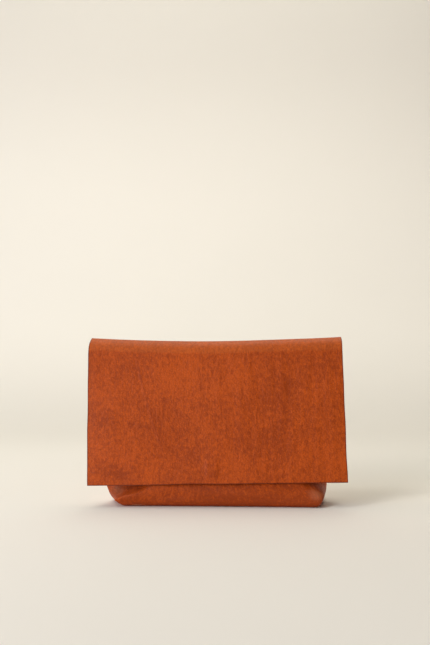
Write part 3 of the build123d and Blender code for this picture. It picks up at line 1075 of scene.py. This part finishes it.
def backdrop():
    """A floor that sweeps up into a wall, with painted shade in the sweep and towards the top and painted
    light on the wall and towards the right.
    """
    made, r, shader = material("backdrop_paper")
    axes = r.node("ShaderNodeSeparateXYZ")
    r.put(axes.inputs[0], r.place())
    across, back, up = axes.outputs
    # Painted light and shade on the paper: darker in the sweep and towards the top, lighter on the wall and
    # towards the right.
    shade = r.math("ADD", r.remap(back, 0.3, 0.65, 1.03, 0.95), r.remap(back, 0.7, 1.1, 0.0, 0.125))
    shade = r.math("ADD", shade, r.remap(up, 0.45, 1.05, 0.0, -0.15))
    shade = r.math("ADD", shade, r.remap(across, -0.1, 0.6, 0.0, 0.03))
    paper = r.noise(r.place(), 3.0, 2.0, 0.5)
    colour = r.mix(paper, (0.80, 0.745, 0.655, 1.0), (0.82, 0.765, 0.675, 1.0))
    bright = r.node("ShaderNodeVectorMath", operation="SCALE")
    r.put(bright.inputs[0], colour)
    r.put(bright.inputs["Scale"], shade)
    r.put(shader.inputs["Base Color"], bright.outputs[0])
    r.put(shader.inputs["Roughness"], r.remap(paper, 0.0, 1.0, 0.9, 0.95))
    shader.inputs["Specular IOR Level"].default_value = 0.1
    profile = [(-3.0, 0.0), (-1.5, 0.0), (-0.5, 0.0), (0.0, 0.0), (0.25, 0.0)]
    for i in range(25):
        angle = i / 24 * math.pi / 2
        profile.append((FLOOR_BACK + COVE_RADIUS * math.sin(angle), COVE_RADIUS * (1.0 - math.cos(angle))))
    profile += [(FLOOR_BACK + COVE_RADIUS, 1.6), (FLOOR_BACK + COVE_RADIUS, 2.6)]
    sides = (-STAGE_HALF_WIDTH, STAGE_HALF_WIDTH)
    vertices = [(x * METRE, y * METRE, z * METRE) for y, z in profile for x in sides]
    faces = [[2 * i, 2 * i + 1, 2 * i + 3, 2 * i + 2] for i in range(len(profile) - 1)]
    mesh_object("backdrop", vertices, faces, [made])


def area_light(name, place, target, size, power, colour):
    data = bpy.data.lights.new(name, "AREA")
    data.shape = "RECTANGLE"
    data.size, data.size_y = size
    data.energy = power
    data.color = colour
    lamp = bpy.data.objects.new(name, data)
    lamp.location = place
    lamp.rotation_euler = (Vector(target) - Vector(place)).to_track_quat("-Z", "Y").to_euler()
    bpy.context.scene.collection.objects.link(lamp)


WINDOW_LIGHT = (1.0, 0.95, 0.99)
FILL_LIGHT = (1.0, 0.98, 0.95)
COOL_LIGHT = (0.65, 0.88, 1.30)
WARM_LIGHT = (1.0, 1.0, 0.92)


def studio_light():
    area_light("window", (-1.6, -1.8, 0.9), (0.0, 0.0, 0.1), (1.4, 1.4), 36.0, WINDOW_LIGHT)
    area_light("key", (-1.3, -1.0, 1.5), (0.0, 0.0, 0.08), (1.0, 1.0), 4.5, COOL_LIGHT)
    area_light("low_side", (-2.2, -0.5, 0.6), (0.0, 0.0, 0.05), (1.2, 1.1), 5.0, COOL_LIGHT)
    area_light("overhead", (-0.2, 0.45, 1.9), (0.0, 0.1, 0.0), (2.0, 1.2), 22.5, WARM_LIGHT)
    area_light("side_fill", (1.8, -0.6, 0.22), (0.1, 0.0, 0.02), (0.6, 0.3), 3.5, FILL_LIGHT)
    area_light("wall_spot", (-0.9, -0.6, 1.9), (-0.25, 1.4, 0.35), (0.5, 0.5), 8.5, WARM_LIGHT)
    world = bpy.data.worlds.new("studio")
    world.use_nodes = True
    sky = world.node_tree.nodes["Background"]
    sky.inputs["Color"].default_value = (1.0, 0.97, 0.93, 1.0)
    sky.inputs["Strength"].default_value = 0.03
    bpy.context.scene.world = world


CAMERA_PLACE = (-0.0025, -0.954, 0.186)
CAMERA_LENS = 51.35


def camera():
    data = bpy.data.cameras.new("camera")
    data.sensor_width = 36.0
    data.lens = CAMERA_LENS
    data.clip_start = 0.01
    seat = bpy.data.objects.new("camera", data)
    seat.location = CAMERA_PLACE
    seat.rotation_euler = (math.pi / 2, 0.0, 0.0)
    bpy.context.scene.collection.objects.link(seat)
    bpy.context.scene.camera = seat


backdrop()
studio_light()
camera()
bpy.context.scene.view_settings.view_transform = "Standard"
